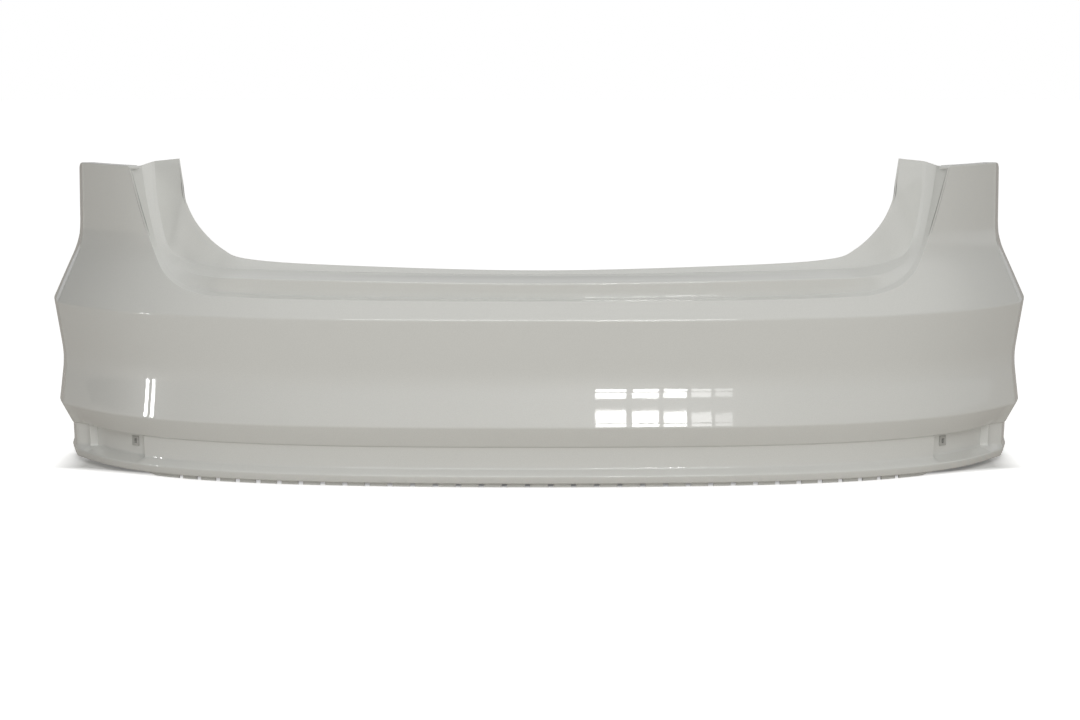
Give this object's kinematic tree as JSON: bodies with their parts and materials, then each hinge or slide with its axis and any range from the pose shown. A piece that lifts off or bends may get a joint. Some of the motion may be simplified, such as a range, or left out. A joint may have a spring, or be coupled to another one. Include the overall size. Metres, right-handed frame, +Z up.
{
  "type": "rear bumper cover",
  "caption": "Painted rear bumper cover with boot-lid uprights, side wings, hook-tab lip, inner brackets, spring nuts, screws and push rivets.",
  "frame": {"origin": "middle of the footprint, on the level of the lowest hook tabs", "axes": "+X along the cover, +Y forwards into the car, +Z up"},
  "size_m": [1.7574, 0.6316, 0.543],
  "materials": {
    "paint": "pearl white gloss paint",
    "black_plastic": "moulded, fine grain",
    "socket_plastic": "moulded, natural",
    "spring_steel": "phosphated spring steel",
    "screw_steel": "black zinc",
    "rivet_plastic": "moulded nylon"
  },
  "bodies": {
    "cover": {"cover_skin": "paint", "centre_guide": "black_plastic", "lower_stiffener": "black_plastic", "side_guide_right": "black_plastic", "side_guide_left": "black_plastic", "tail_lamp_bracket_right": "black_plastic", "tail_lamp_bracket_left": "black_plastic", "arch_bracket_right": "black_plastic", "arch_bracket_left": "black_plastic", "reflector_socket_right": "socket_plastic", "reflector_socket_left": "socket_plastic", "arch_nut_right_1": "spring_steel", "arch_screw_right_1": "screw_steel", "arch_nut_right_2": "spring_steel", "arch_screw_right_2": "screw_steel", "arch_nut_right_3": "spring_steel", "arch_screw_right_3": "screw_steel", "arch_nut_left_1": "spring_steel", "arch_screw_left_1": "screw_steel", "arch_nut_left_2": "spring_steel", "arch_screw_left_2": "screw_steel", "arch_nut_left_3": "spring_steel", "arch_screw_left_3": "screw_steel", "sill_rivet_1_body": "rivet_plastic", "sill_rivet_2_body": "rivet_plastic", "sill_rivet_3_body": "rivet_plastic", "sill_rivet_4_body": "rivet_plastic", "bottom_rivet_1_body": "rivet_plastic", "bottom_rivet_2_body": "rivet_plastic", "bottom_rivet_3_body": "rivet_plastic", "bottom_rivet_4_body": "rivet_plastic"},
    "sill_rivet_1_pin": {"sill_rivet_1_pin": "rivet_plastic"},
    "sill_rivet_2_pin": {"sill_rivet_2_pin": "rivet_plastic"},
    "sill_rivet_3_pin": {"sill_rivet_3_pin": "rivet_plastic"},
    "sill_rivet_4_pin": {"sill_rivet_4_pin": "rivet_plastic"},
    "bottom_rivet_1_pin": {"bottom_rivet_1_pin": "rivet_plastic"},
    "bottom_rivet_2_pin": {"bottom_rivet_2_pin": "rivet_plastic"},
    "bottom_rivet_3_pin": {"bottom_rivet_3_pin": "rivet_plastic"},
    "bottom_rivet_4_pin": {"bottom_rivet_4_pin": "rivet_plastic"}
  },
  "joints": [
    {"name": "sill_rivet_1_pull", "type": "slide", "parent": "cover", "child": "sill_rivet_1_pin", "axis": [0, 0, 1], "range_m": [0, 0.007]},
    {"name": "sill_rivet_2_pull", "type": "slide", "parent": "cover", "child": "sill_rivet_2_pin", "axis": [0, 0, 1], "range_m": [0, 0.007]},
    {"name": "sill_rivet_3_pull", "type": "slide", "parent": "cover", "child": "sill_rivet_3_pin", "axis": [0, 0, 1], "range_m": [0, 0.007]},
    {"name": "sill_rivet_4_pull", "type": "slide", "parent": "cover", "child": "sill_rivet_4_pin", "axis": [0, 0, 1], "range_m": [0, 0.007]},
    {"name": "bottom_rivet_1_pull", "type": "slide", "parent": "cover", "child": "bottom_rivet_1_pin", "axis": [0, 0, -1], "range_m": [0, 0.005]},
    {"name": "bottom_rivet_2_pull", "type": "slide", "parent": "cover", "child": "bottom_rivet_2_pin", "axis": [0, 0, -1], "range_m": [0, 0.005]},
    {"name": "bottom_rivet_3_pull", "type": "slide", "parent": "cover", "child": "bottom_rivet_3_pin", "axis": [0, 0, -1], "range_m": [0, 0.005]},
    {"name": "bottom_rivet_4_pull", "type": "slide", "parent": "cover", "child": "bottom_rivet_4_pin", "axis": [0, 0, -1], "range_m": [0, 0.005]}
  ]
}
